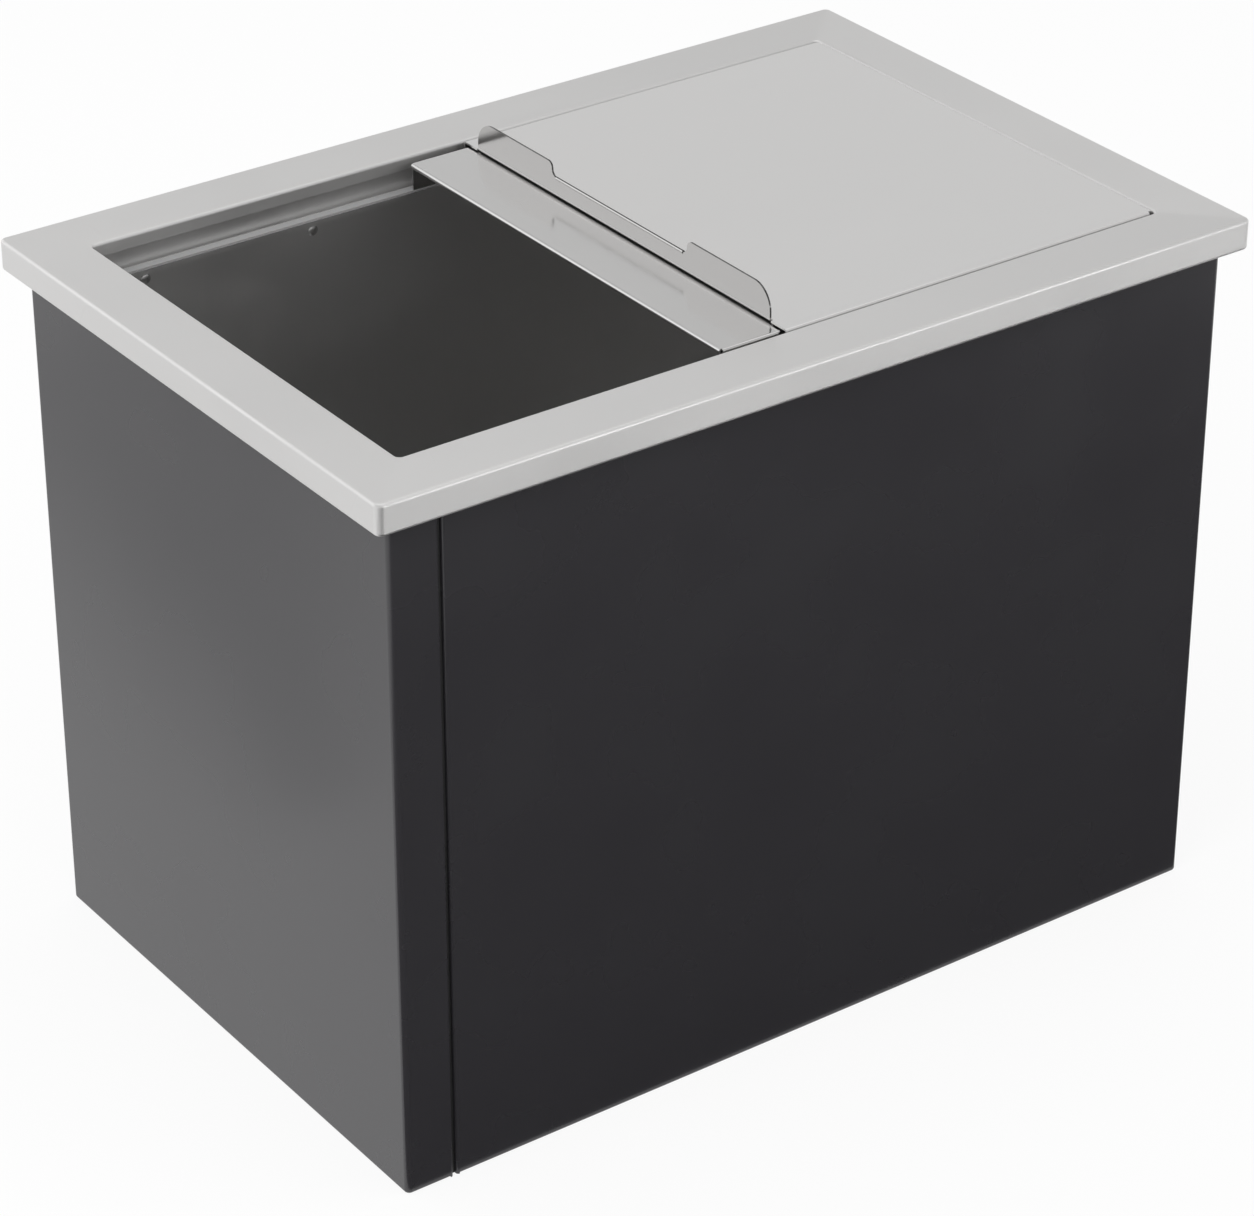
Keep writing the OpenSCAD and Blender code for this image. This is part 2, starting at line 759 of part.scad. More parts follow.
// Base panel with its edge turned down, set up inside the casing
module base_panel() {
    hx = case_in_hx - base_gap;
    hy = case_in_hy - base_gap;
    r = case_r - sheet;
    color("darkgray") difference() {
        union() {
            translate([0, 0, recess_h]) linear_extrude(sheet) rounded_rect(2 * hx, 2 * hy, r);
            translate([0, 0, recess_h - base_edge])
                flat_ring(2 * hx, 2 * hy, r, 2 * (hx - sheet), 2 * (hy - sheet), r - sheet / 2,
                          base_edge + eps);
        }
        translate([drain_x, drain_y, recess_h - eps])
            cylinder(sheet + 2 * eps, r = panel_hole_r);
        for (c = cleat_at)
            translate([c.x, c.y, recess_h - eps]) rotate([0, 0, c.z])
                translate([cleat_hole, 0, 0]) cylinder(sheet + 2 * eps, r = screw_r + hole_gap);
        for (s = [-1, 1])
            translate([(seam_l + seam_r) / 2, s * (case_hy - seam_flange / 2), recess_h])
                cube([seam_w + 2 * (sheet + pocket_gap), seam_flange + 2 * pocket_gap,
                      4 * base_edge], center = true);
    }
}

// Angle cleats fixed to the casing's inner faces
module base_cleats() {
    color("gray") for (c = cleat_at)
        translate([c.x, c.y, base_top]) rotate([0, 0, c.z]) difference() {
            translate([0, -cleat_w / 2, 0]) union() {
                cube([cleat_foot, cleat_w, cleat_t]);
                cube([cleat_t, cleat_w, cleat_leg]);
            }
            translate([cleat_hole, 0, -eps])
                cylinder(cleat_t + 2 * eps, r = screw_r + shank_gap);
        }
}

// Pan-head screws up through the base panel into the cleats
module base_screws() {
    color("silver") for (c = cleat_at)
        translate([c.x, c.y, recess_h]) rotate([0, 0, c.z]) translate([cleat_hole, 0, 0]) {
            cylinder(screw_l, r = screw_r);
            translate([0, 0, -screw_head_h])
                cylinder(screw_head_h, screw_head_r * screw_taper, screw_head_r);
        }
}

// Drain body: flange, cup with a cross, threaded shank, neck and spigot
module drain_body() {
    cup_floor = drain_top - cup_d;
    color("lightgray") translate([drain_x, drain_y, 0]) difference() {
        union() {
            translate([0, 0, drain_seat]) cylinder(drain_flange_t, r = drain_flange_r);
            translate([0, 0, neck_top]) cylinder(drain_seat - neck_top, r = shank_r);
            translate([0, 0, neck_top - cone_h]) cylinder(cone_h, neck_r, shank_r);
            translate([0, 0, neck_z]) cylinder(neck_top - neck_z, r = neck_r);
            translate([0, 0, spigot_z + spigot_tip]) cylinder(spigot_l + eps, r = spigot_r);
            translate([0, 0, spigot_z]) cylinder(spigot_tip, spigot_r - spigot_tip, spigot_r);
        }
        translate([0, 0, cup_floor]) cylinder(cup_d + eps, r = cup_r);
        difference() {
            translate([0, 0, spigot_z - eps]) cylinder(cup_floor - spigot_z + 2 * eps, r = bore_r);
            for (a = [0, 90])
                rotate([0, 0, a]) translate([-cup_r, -cross_web / 2, cup_floor - cross_web])
                    cube([2 * cup_r, cross_web, cross_web]);
        }
    }
}

// Flat ring on the drain's axis
module drain_ring(z, h, r, in_r) {
    translate([drain_x, drain_y, z]) difference() {
        cylinder(h, r = r);
        translate([0, 0, -eps]) cylinder(h + 2 * eps, r = in_r);
    }
}

module drain_gasket() {
    color("black")
        drain_ring(dish_floor, gasket_t, drain_flange_r - seal_in, shank_r + hole_gap);
}

module drain_washer() {
    color("saddlebrown") drain_ring(nut_top, washer_t, nut_r - seal_in, shank_r + hole_gap);
}

// Round locknut with grip notches
module drain_locknut() {
    color("lightgray") difference() {
        drain_ring(nut_z, nut_h, nut_r, shank_r + shank_gap);
        for (a = [0 : 45 : 315])
            translate([drain_x, drain_y, nut_z - eps]) rotate([0, 0, a])
                translate([nut_r - nut_notch_d, -nut_notch_w / 2, 0])
                cube([2 * nut_notch_d, nut_notch_w, nut_h + 2 * eps]);
    }
}

// Rubber grommet that closes the base panel's hole round the drain's neck
module base_grommet() {
    color("black") {
        drain_ring(recess_h - grommet_lip, grommet_lip, grommet_r, neck_r + shank_gap);
        drain_ring(recess_h, sheet, panel_hole_r, neck_r + shank_gap);
        drain_ring(base_top, grommet_lip, grommet_r, neck_r + shank_gap);
    }
}

// Rubber plug that hangs by its flange in the drain's cup
module drain_plug() {
    side_h = cup_d - plug_lift - plug_chamfer;
    color("black") translate([drain_x, drain_y, drain_top]) {
        translate([0, 0, plug_lift - cup_d])
            cylinder(plug_chamfer, plug_r - plug_chamfer, plug_r);
        translate([0, 0, -side_h]) cylinder(side_h, r = plug_r);
        cylinder(plug_flange_t, r = plug_flange_r);
        translate([0, 0, plug_flange_t]) cylinder(knob_h - plug_flange_t, r = knob_r);
        translate([0, 0, plug_flange_t + knob_h - knob_top_h])
            cylinder(knob_top_h, r = knob_top_r);
    }
}

top_frame();
rim_seal();
inner_tub();
left_casing();
main_casing();
front_seam_seal();
back_seam_seal();
seam_rivets();
flange_rivets();
front_lid_rail();
back_lid_rail();
front_glide_strip();
back_glide_strip();
rail_rivets();
upper_lid();
lower_lid();
front_insulation();
back_insulation();
left_insulation();
right_insulation();
base_insulation();
base_panel();
base_cleats();
base_screws();
drain_body();
drain_gasket();
drain_washer();
drain_locknut();
base_grommet();
drain_plug();
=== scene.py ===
import math
import bmesh
import bpy
from mathutils import Matrix, Vector


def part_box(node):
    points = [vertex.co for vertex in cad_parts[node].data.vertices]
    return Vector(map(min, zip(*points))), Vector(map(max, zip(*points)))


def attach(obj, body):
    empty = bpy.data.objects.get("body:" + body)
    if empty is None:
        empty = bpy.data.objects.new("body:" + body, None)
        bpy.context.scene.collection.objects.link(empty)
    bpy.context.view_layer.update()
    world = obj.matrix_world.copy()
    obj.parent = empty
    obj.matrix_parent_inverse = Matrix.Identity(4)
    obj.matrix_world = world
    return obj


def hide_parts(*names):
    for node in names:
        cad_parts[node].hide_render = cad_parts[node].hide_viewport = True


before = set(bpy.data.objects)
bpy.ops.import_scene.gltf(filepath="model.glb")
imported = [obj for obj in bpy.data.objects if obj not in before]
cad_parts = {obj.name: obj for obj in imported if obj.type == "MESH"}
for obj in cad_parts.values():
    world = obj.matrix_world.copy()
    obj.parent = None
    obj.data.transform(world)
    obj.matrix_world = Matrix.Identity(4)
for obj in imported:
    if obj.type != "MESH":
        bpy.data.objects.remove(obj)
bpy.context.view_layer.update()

MM = 0.001

# Camera: where it stands is worked out from the point that it looks at
LOOK_AT = Vector((0, 0, 200 * MM))
AZIMUTH = math.radians(-35.71)
ELEVATION = math.radians(29.60)
DISTANCE = 2351 * MM
SIDE_STEP = -0.4 * MM
DOWN_STEP = 22.8 * MM
SENSOR = 36
LENS = 127.7
CLIP_NEAR = 0.05
CLIP_FAR = 50

# Rim, read from the frame
RIM_HALF_X, RIM_HALF_Y, RIM_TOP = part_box("top_frame")[1]

# Lip of the upper lid: the heights where its own finish starts and is full, and its painted shade:
# the lip is painted darker than the plate, and its cut edges far darker
LIP_START = RIM_TOP + 0.4 * MM
LIP_FULL = RIM_TOP + 1.4 * MM
LIP_PAINTED_SHADE = 0.82
LIP_EDGE_PAINTED_SHADE = 0.14

# Rivets and screws: what the frame's boxes don't give
RIVET_HEAD_H = 1 * MM
RIVET_SHANK_R = 1.6 * MM
RIVET_PIT_SHARE = 0.24
RIVET_SET_SHARE = 0.9
SCREW_HEAD_H = 2.4 * MM
SCREW_SHANK_R = 2 * MM
SCREW_ROOT_R = 0.84 * SCREW_SHANK_R
SCREW_TIP_R = 0.5 * SCREW_SHANK_R
SCREW_TIP_L = 1.5 * MM
SCREW_PITCH = 0.8 * MM
CROSS_HALF_W_SHARE = 0.16
CROSS_REACH_SHARE = 0.56
CROSS_DEPTH = 0.62 * SCREW_HEAD_H
CROSS_SLOPE = 2.5
SPIN_SEED = 7

# Finishes: how deep the bumps go, and how far the steel's grey swings and how warm it is
GRAIN_DEPTH = 0.003 * MM
PEEL_DEPTH = 0.004 * MM
WAVE_DEPTH = 0.8 * MM
TONE_SWING = 0.015
STEEL_WARMTH = 0.008

# Room: bright from the horizon up to ROOM_LOW and dimmer from there to ROOM_HIGH
ROOM_LOW = 0.1
ROOM_HIGH = 0.8
ROOM_DIMMEST = 0.55

# Floor: half its size, its grey, how much it glows for straight rays, the cards' height
FLOOR_REACH = 6
FLOOR_GREY = 0.85
FLOOR_GLOW = 0.88
CARD_Z = 1 * MM

# Dark card and grey strip: sheets that only gloss sees, as painted reflections. Dark card: its
# ends, its far edge and its gap before the casing. Grey strip: its corners
DARK_LEFT = -0.7
DARK_RIGHT = 0.9
DARK_FAR = -1.3
DARK_GAP = 2 * MM
STRIP_CORNERS = [(-0.43, 0.15), (-0.40, 0.17), (-0.54, 0.92), (-0.76, 0.68)]

# A Mix node's two inputs and its output, by the kind of value that it mixes
MIX_SOCKETS = {"FLOAT": (2, 3, 0), "VECTOR": (4, 5, 1), "RGBA": (6, 7, 2)}

# A Random Value node's sockets for a Float: its highest value and its output
CHANCE_MOST = 3
CHANCE_OUT = 1

WHITE = (1, 1, 1, 1)


def grey(level, warmth=0.0):
    """A grey of one level, a little warmer above 0 and cooler below."""
    return (level * (1 + warmth), level, level * (1 - warmth), 1)


class Finish:
    """A material's nodes, with short calls for the ones that the finishes share."""

    def __init__(self, name):
        self.material = bpy.data.materials.new(name)
        self.material.use_nodes = True
        self.tree = self.material.node_tree
        self.shader = self.tree.nodes["Principled BSDF"]
        self.coordinates = None

    def node(self, kind, **settings):
        made = self.tree.nodes.new(kind)
        for name, value in settings.items():
            setattr(made, name, value)
        return made

    def link(self, output, socket):
        self.tree.links.new(output, socket)

    def set(self, **values):
        """Sets the shader's own sockets: base_color is written for Base Color."""
        for name, value in values.items():
            socket = name.replace("_", " ").title().replace("Ior", "IOR")
            self.shader.inputs[socket].default_value = value

    def feed(self, socket, value):
        """Links an output to a socket, or sets the socket to a plain value."""
        if isinstance(value, bpy.types.NodeSocket):
            self.link(value, socket)
        else:
            socket.default_value = value

    def place(self, scale=(1, 1, 1), turn=(0, 0, 0)):
        """Object coordinates, stretched and then turned."""
        if self.coordinates is None:
            self.coordinates = self.node("ShaderNodeTexCoord").outputs["Object"]
        mapping = self.node("ShaderNodeMapping")
        mapping.inputs["Scale"].default_value = scale
        mapping.inputs["Rotation"].default_value = turn
        self.link(self.coordinates, mapping.inputs["Vector"])
        return mapping.outputs["Vector"]

    def noise(self, size, detail=2.0, stretch=(1, 1, 1), rough=0.5, turn=(0, 0, 0)):
        """Noise whose blots are about size across, drawn out by stretch."""
        made = self.node("ShaderNodeTexNoise")
        scale = [1 / (size * s) for s in stretch]
        self.link(self.place(scale, turn), made.inputs["Vector"])
        made.inputs["Scale"].default_value = 1
        made.inputs["Detail"].default_value = detail
        made.inputs["Roughness"].default_value = rough
        return made.outputs["Fac"]

    def span(self, value, low, high, start=0.0, end=1.0):
        """Maps start..end of a value to low..high, and holds it there."""
        made = self.node("ShaderNodeMapRange")
        made.inputs["From Min"].default_value = start
        made.inputs["From Max"].default_value = end
        made.inputs["To Min"].default_value = low
        made.inputs["To Max"].default_value = high
        self.link(value, made.inputs["Value"])
        return made.outputs["Result"]

    def math(self, operation, a, b=None):
        made = self.node("ShaderNodeMath", operation=operation)
        self.feed(made.inputs[0], a)
        if b is not None:
            self.feed(made.inputs[1], b)
        return made.outputs["Value"]

    def mix(self, kind, share, first, second, **settings):
        """The first value where share is 0 and the second where it is 1. The kind is
        FLOAT, VECTOR or RGBA."""
        made = self.node("ShaderNodeMix", data_type=kind, **settings)
        first_at, second_at, out_at = MIX_SOCKETS[kind]
        self.feed(made.inputs["Factor"], share)
        self.feed(made.inputs[first_at], first)
        self.feed(made.inputs[second_at], second)
        return made.outputs[out_at]

    def colour(self, share, first, second):
        """Base colour between two colours, by share."""
        self.link(self.mix("RGBA", share, first, second), self.shader.inputs["Base Color"])

    def roughness(self, value):
        self.link(value, self.shader.inputs["Roughness"])

    def bump(self, height, depth, after=None):
        """Bump of a height field that is depth metres high, over an earlier bump."""
        made = self.node("ShaderNodeBump")
        made.inputs["Strength"].default_value = 1
        made.inputs["Distance"].default_value = depth
        self.link(height, made.inputs["Height"])
        if after is not None:
            self.link(after, made.inputs["Normal"])
        self.link(made.outputs["Normal"], self.shader.inputs["Normal"])
        return made.outputs["Normal"]


def grain_along(finish, axis, width=0.5 * MM, length=60 * MM):
    """Brushed lines that run along one axis (0 is X, 1 is Y, 2 is Z)."""
    stretch = [1, 1, 1]
    stretch[axis] = length / width
    return finish.noise(width, detail=3, stretch=stretch, rough=0.6)


def ends_share(finish):
    """1 on the short sides of the rim and 0 on the long ones, parted at the mitres."""
    place = finish.node("ShaderNodeSeparateXYZ")
    finish.link(finish.place(), place.inputs["Vector"])
    from_end = finish.math("SUBTRACT", finish.math("ABSOLUTE", place.outputs["X"]), RIM_HALF_X)
    from_side = finish.math("SUBTRACT", finish.math("ABSOLUTE", place.outputs["Y"]), RIM_HALF_Y)
    return finish.math("GREATER_THAN", from_end, from_side)


def across(finish, axis):
    """The direction that crosses lines brushed along one axis, for the stretched gloss."""
    return finish.node("ShaderNodeTangent", direction_type="RADIAL", axis=axis).outputs["Tangent"]


def scratches(finish):
    """A few hair-fine lines that cross the grain: 1 on a line and 0 beside it."""
    half_width = 0.0016
    bent = finish.noise(26 * MM, detail=1, stretch=(1, 5, 5), turn=(0, 0, 0.5))
    off_line = finish.math("ABSOLUTE", finish.math("SUBTRACT", bent, 0.5))
    return finish.span(off_line, 1.0, 0.0, 0.0, half_width)


def steel_surface(finish, grain, level, rough, spread=0.03):
    """Satin steel: grain in colour, roughness and bump, with wipe marks and scratches.
    The level is its grey, rough its plain roughness and spread what the wipes change."""
    wipes = finish.noise(55 * MM, detail=4, stretch=(1.8, 1, 1))
    lines = finish.span(grain, -0.3, 0.3, 0.3, 0.7)
    tone = finish.math("ADD", lines, finish.span(wipes, 0.35, 0.65, 0.35, 0.65))
    darker = grey(level * (1 - TONE_SWING), STEEL_WARMTH)
    finish.colour(tone, darker, grey(level * (1 + TONE_SWING), STEEL_WARMTH))
    worn = finish.span(wipes, -spread, spread, 0.35, 0.65)
    worn = finish.math("ADD", worn, finish.math("MULTIPLY", lines, 0.1))
    worn = finish.math("ADD", worn, finish.math("MULTIPLY", scratches(finish), 0.06))
    finish.roughness(finish.math("ADD", worn, rough))
    finish.bump(grain, GRAIN_DEPTH)
    finish.set(metallic=1.0)
    return finish.material


def rim_steel():
    finish = Finish("brushed_rim_steel")
    share = ends_share(finish)
    grain = finish.mix("FLOAT", share, grain_along(finish, 0), grain_along(finish, 1))
    turn = finish.mix("VECTOR", share, across(finish, "X"), across(finish, "Y"))
    finish.link(turn, finish.shader.inputs["Tangent"])
    finish.set(anisotropic=0.7)
    return steel_surface(finish, grain, level=0.675, rough=0.44)


def lip_share(finish):
    """1 on the upright lip and 0 on the plate that it rises from."""
    place = finish.node("ShaderNodeSeparateXYZ")
    finish.link(finish.place(), place.inputs["Vector"])
    return finish.span(place.outputs["Z"], 0, 1, LIP_START, LIP_FULL)


def cut_edge_share(finish):
    """1 where a surface faces neither left nor right: the cut edges of the lip."""
    normal = finish.node("ShaderNodeNewGeometry").outputs["True Normal"]
    facing = finish.node("ShaderNodeSeparateXYZ")
    finish.link(normal, facing.inputs["Vector"])
    return finish.span(finish.math("ABSOLUTE", facing.outputs["X"]), 1, 0, 0.45, 0.7)


def lid_steel():
    """Brushed plate with a polished lip. The lip is painted darker than the plate and its cut
    edges far darker, as painted shade.
    """
    finish = Finish("brushed_lid_steel")
    finish.link(across(finish, "X"), finish.shader.inputs["Tangent"])
    finish.set(anisotropic=0.35)
    lip = lip_share(finish)
    edge = finish.math("MULTIPLY", lip, cut_edge_share(finish))
    rough = finish.mix("FLOAT", lip, 0.34, 0.15)
    steel_surface(finish, grain_along(finish, 0), level=0.70, rough=rough)
    base = finish.shader.inputs["Base Color"]
    # Painted shade: the lip's colour is darkened, and its cut edges are darkened far more
    lip_painted_shade = finish.span(lip, 1.0, LIP_PAINTED_SHADE)
    lip_and_edge_painted_shade = finish.math("MULTIPLY", lip_painted_shade, finish.span(edge, 1.0, LIP_EDGE_PAINTED_SHADE))
    plain = base.links[0].from_socket
    finish.link(finish.mix("RGBA", 1, plain, lip_and_edge_painted_shade, blend_type="MULTIPLY"), base)
    return finish.material


def polished_lid_steel():
    finish = Finish("polished_lid_steel")
    return steel_surface(finish, grain_along(finish, 0), level=0.58, rough=0.17, spread=0.05)


# Painted light: the tub's grey is set lighter than the rim's and lid's steel, to lift the shaded
# inside of the tub
def tub_steel():
    finish = Finish("satin_tub_steel")
    return steel_surface(finish, grain_along(finish, 2, length=30 * MM), level=0.78, rough=0.42)


def drain_steel():
    finish = Finish("turned_drain_steel")
    return steel_surface(finish, finish.noise(0.8 * MM), level=0.58, rough=0.24)


def rivet_steel():
    finish = Finish("rivet_steel")
    return steel_surface(finish, finish.noise(1.2 * MM), level=0.52, rough=0.34)


def zinc_steel():
    finish = Finish("zinc_coated_steel")
    spangle = finish.node("ShaderNodeTexVoronoi")
    finish.link(finish.place((1 / (9 * MM),) * 3), spangle.inputs["Vector"])
    spangle.inputs["Scale"].default_value = 1
    facet = spangle.outputs["Distance"]
    finish.colour(facet, grey(0.42, -0.02), grey(0.56, -0.02))
    finish.roughness(finish.span(facet, 0.36, 0.52))
    finish.bump(facet, 0.01 * MM)
    finish.set(metallic=1.0)
    return finish.material


def casing_paint():
    """Satin charcoal powder coat: fine orange peel and rubbed patches."""
    finish = Finish("charcoal_powder_coat")
    peel = finish.noise(1.6 * MM)
    sheet_waves = finish.noise(240 * MM, detail=1)
    rubbed = finish.noise(70 * MM, detail=3)
    finish.colour(rubbed, (0.021, 0.020, 0.023, 1), (0.024, 0.023, 0.026, 1))
    finish.roughness(finish.span(rubbed, 0.255, 0.285, 0.3, 0.7))
    waves = finish.bump(sheet_waves, WAVE_DEPTH)
    finish.bump(peel, PEEL_DEPTH, after=waves)
    finish.set(IOR=1.6)
    return finish.material


def rubber(name, level, rough=0.7):
    finish = Finish(name)
    mottle = finish.noise(3 * MM, detail=4)
    finish.colour(mottle, grey(level * 0.8), grey(level * 1.2))
    finish.roughness(finish.span(mottle, rough - 0.08, rough + 0.08, 0.3, 0.7))
    finish.bump(mottle, 0.03 * MM)
    return finish.material


def plastic(name, level, rough=0.4):
    finish = Finish(name)
    flow = finish.noise(12 * MM, detail=3)
    finish.colour(flow, grey(level * 0.96), grey(level * 1.04))
    finish.roughness(finish.span(flow, rough - 0.05, rough + 0.05, 0.3, 0.7))
    finish.bump(finish.noise(0.9 * MM), 0.01 * MM)
    return finish.material


def foam():
    """Rigid foam: closed cells that show as small pits in a pale yellow, each pit painted darker
    as painted shade.
    """
    finish = Finish("rigid_foam")
    cells = finish.node("ShaderNodeTexVoronoi")
    finish.link(finish.place((1 / (2.2 * MM),) * 3), cells.inputs["Vector"])
    cells.inputs["Scale"].default_value = 1
    depth = cells.outputs["Distance"]
    # Painted shade: the colour darkens towards each cell's middle, where the pits are deepest
    finish.colour(depth, (0.66, 0.58, 0.36, 1), (0.80, 0.73, 0.50, 1))
    finish.roughness(finish.span(depth, 0.95, 0.75))
    finish.bump(depth, 0.3 * MM)
    return finish.material


def fibre():
    finish = Finish("pressed_fibre")
    strands = finish.noise(2 * MM, detail=5, rough=0.7)
    finish.colour(strands, (0.20, 0.06, 0.03, 1), (0.34, 0.12, 0.06, 1))
    finish.roughness(finish.span(strands, 0.7, 0.9))
    finish.bump(strands, 0.05 * MM)
    return finish.material


def dress(material, *nodes):
    """Gives CAD nodes their finish."""
    for name in nodes:
        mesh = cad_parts[name].data
        mesh.materials.clear()
        mesh.materials.append(material)


def finish_cad_nodes():
    dress(rim_steel(), "top_frame")
    dress(lid_steel(), "upper_lid")
    dress(polished_lid_steel(), "lower_lid")
    dress(tub_steel(), "inner_tub", "front_lid_rail", "back_lid_rail")
    dress(casing_paint(), "left_casing", "main_casing")
    dress(rubber("seam_rubber", level=0.015), "front_seam_seal", "back_seam_seal",
          "drain_gasket", "base_grommet")
    dress(rubber("sealing_tape", level=0.05, rough=0.8), "rim_seal")
    dress(rubber("plug_rubber", level=0.02, rough=0.55), "drain_plug")
    dress(plastic("glide_plastic", level=0.32), "front_glide_strip", "back_glide_strip")
    dress(plastic("nut_plastic", level=0.68, rough=0.45), "drain_locknut")
    dress(foam(), "front_insulation", "back_insulation", "left_insulation",
          "right_insulation", "base_insulation")
    dress(zinc_steel(), "base_panel", "base_cleats")
    dress(drain_steel(), "drain_body")
    dress(fibre(), "drain_washer")


def corners(points):
    """The lowest and the highest corner of the box round some points."""
    low = Vector([min(p[i] for p in points) for i in range(3)])
    high = Vector([max(p[i] for p in points) for i in range(3)])
    return low, high


def solids(node):
    """The box of each separate solid of a CAD node, from low X to high X."""
    work = bmesh.new()
    work.from_mesh(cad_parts[node].data)
    bmesh.ops.remove_doubles(work, verts=work.verts, dist=0.001 * MM)
    unseen = set(work.verts)
    boxes = []
    while unseen:
        waiting = [unseen.pop()]
        points = []
        while waiting:
            vertex = waiting.pop()
            points.append(vertex.co.copy())
            near = [edge.other_vert(vertex) for edge in vertex.link_edges]
            found = [other for other in near if other in unseen]
            unseen.difference_update(found)
            waiting.extend(found)
        boxes.append(corners(points))
    work.free()
    return sorted(boxes, key=lambda box: tuple(round(v, 5) for v in box[0]))


def spun_mesh(name, profile, steps=40, dent=None):
    """A profile of (radius, height) points, spun round Z from its top to its foot.
    The first and last points lie on the axis; dent lowers the points of the top."""
    work = bmesh.new()
    rings = []
    for radius, height in profile:
        if radius == 0:
            low = dent(0, 0) if dent and not rings else 0
            rings.append([work.verts.new((0, 0, height - low))])
            continue
        ring = []
        for i in range(steps):
            x = radius * math.cos(math.tau * i / steps)
            y = radius * math.sin(math.tau * i / steps)
            low = dent(x, y) if dent and height > profile[-1][1] / 2 else 0
            ring.append(work.verts.new((x, y, height - low)))
        rings.append(ring)
    for upper, lower in zip(rings, rings[1:]):
        for i in range(steps):
            j = (i + 1) % steps
            face = [upper[i % len(upper)], lower[i % len(lower)],
                    lower[j % len(lower)], upper[j % len(upper)]]
            work.faces.new(list(dict.fromkeys(face)))
    bmesh.ops.recalc_face_normals(work, faces=work.faces)
    mesh = bpy.data.meshes.new(name)
    work.to_mesh(mesh)
    work.free()
    mesh.polygons.foreach_set("use_smooth", [True] * len(mesh.polygons))
    mesh.set_sharp_from_angle(angle=math.radians(50))
    return mesh


def rivet_mesh(name, head_r, length):
    """Blind rivet on Z: a domed head with the mandrel's pit above, the set end below."""
    top = length / 2
    seat = top - RIVET_HEAD_H
    pit_r = RIVET_PIT_SHARE * head_r
    pit_z = top - 0.4 * RIVET_HEAD_H
    dome = [(0, pit_z), (0.8 * pit_r, pit_z), (pit_r, top - 0.1 * RIVET_HEAD_H)]
    arc = [math.radians(a) for a in (12, 25, 40, 55, 70, 82)]
    dome += [(head_r * math.sin(a), seat + RIVET_HEAD_H * math.cos(a)) for a in arc]
    dome += [(head_r, seat), (RIVET_SHANK_R, seat), (RIVET_SHANK_R, -seat)]
    set_r = RIVET_SET_SHARE * head_r
    set_end = [(set_r * math.sin(a), -seat - RIVET_HEAD_H * math.cos(a)) for a in arc[::-1]]
    return spun_mesh(name, dome + set_end + [(0, -top)])


def cross_recess(head_r):
    """How deep the driver's cross lies under each point of a screw head."""
    def depth(x, y):
        across_arm = min(abs(x), abs(y))
        along_arm = max(abs(x), abs(y))
        inside = CROSS_HALF_W_SHARE * head_r - across_arm
        reach = 1 - along_arm / (CROSS_REACH_SHARE * head_r)
        if inside <= 0 or reach <= 0:
            return 0
        return CROSS_DEPTH * min(1, CROSS_SLOPE * reach)
    return depth


def screw_mesh(name, head_r, length):
    """Pan-head screw on Z: head with a cross above, thread and tip below."""
    top = length / 2
    seat = top - SCREW_HEAD_H
    crown = 0.08 * SCREW_HEAD_H
    rings = [(0.05 * head_r * i, top - crown * (i / 17) ** 2) for i in range(18)]
    side = [(0.94, 0.8), (0.99, 0.62), (1.0, 0.4), (1.0, 0.04), (0.98, 0.0)]
    rings += [(head_r * r, seat + SCREW_HEAD_H * h) for r, h in side]
    z = seat
    while z > SCREW_PITCH + SCREW_TIP_L - top:
        rings += [(SCREW_ROOT_R, z), (SCREW_SHANK_R, z - SCREW_PITCH / 2)]
        z -= SCREW_PITCH
    rings += [(SCREW_ROOT_R, z), (SCREW_TIP_R, -top), (0, -top)]
    return spun_mesh(name, rings, steps=72, dent=cross_recess(head_r))


def repeat_tree():
    """Node tree that stands a fastener on each point, turned as the point says and
    spun by chance about its own axis."""
    tree = bpy.data.node_groups.new("repeat_fastener", "GeometryNodeTree")
    kinds = {"Points": "Geometry", "Fastener": "Object", "Finish": "Material",
             "Most spin": "Float", "Seed": "Int"}
    made = {name: tree.interface.new_socket(name, in_out="INPUT", socket_type="NodeSocket" + kind)
            for name, kind in kinds.items()}
    tree.interface.new_socket("Fasteners", in_out="OUTPUT", socket_type="NodeSocketGeometry")
    new = tree.nodes.new
    start = new("NodeGroupInput")
    end = new("NodeGroupOutput")
    piece = new("GeometryNodeObjectInfo")
    turn = new("GeometryNodeInputNamedAttribute")
    turn.data_type = "FLOAT_VECTOR"
    turn.inputs["Name"].default_value = "turn"
    facing = new("FunctionNodeEulerToRotation")
    chance = new("FunctionNodeRandomValue")
    chance.data_type = "FLOAT"
    spin = new("FunctionNodeAxisAngleToRotation")
    both = new("FunctionNodeRotateRotation")
    both.rotation_space = "LOCAL"
    stand = new("GeometryNodeInstanceOnPoints")
    real = new("GeometryNodeRealizeInstances")
    finish = new("GeometryNodeSetMaterial")
    link = tree.links.new
    link(start.outputs["Fastener"], piece.inputs["Object"])
    link(turn.outputs["Attribute"], facing.inputs["Euler"])
    link(start.outputs["Most spin"], chance.inputs[CHANCE_MOST])
    link(start.outputs["Seed"], chance.inputs["Seed"])
    link(chance.outputs[CHANCE_OUT], spin.inputs["Angle"])
    link(facing.outputs["Rotation"], both.inputs["Rotation"])
    link(spin.outputs["Rotation"], both.inputs["Rotate By"])
    link(start.outputs["Points"], stand.inputs["Points"])
    link(piece.outputs["Geometry"], stand.inputs["Instance"])
    link(both.outputs["Rotation"], stand.inputs["Rotation"])
    link(stand.outputs["Instances"], real.inputs["Geometry"])
    link(real.outputs["Geometry"], finish.inputs["Geometry"])
    link(start.outputs["Finish"], finish.inputs["Material"])
    link(finish.outputs["Geometry"], end.inputs["Fasteners"])
    return tree, {name: socket.identifier for name, socket in made.items()}


def add_object(name, data):
    made = bpy.data.objects.new(name, data)
    bpy.context.scene.collection.objects.link(made)
    return made


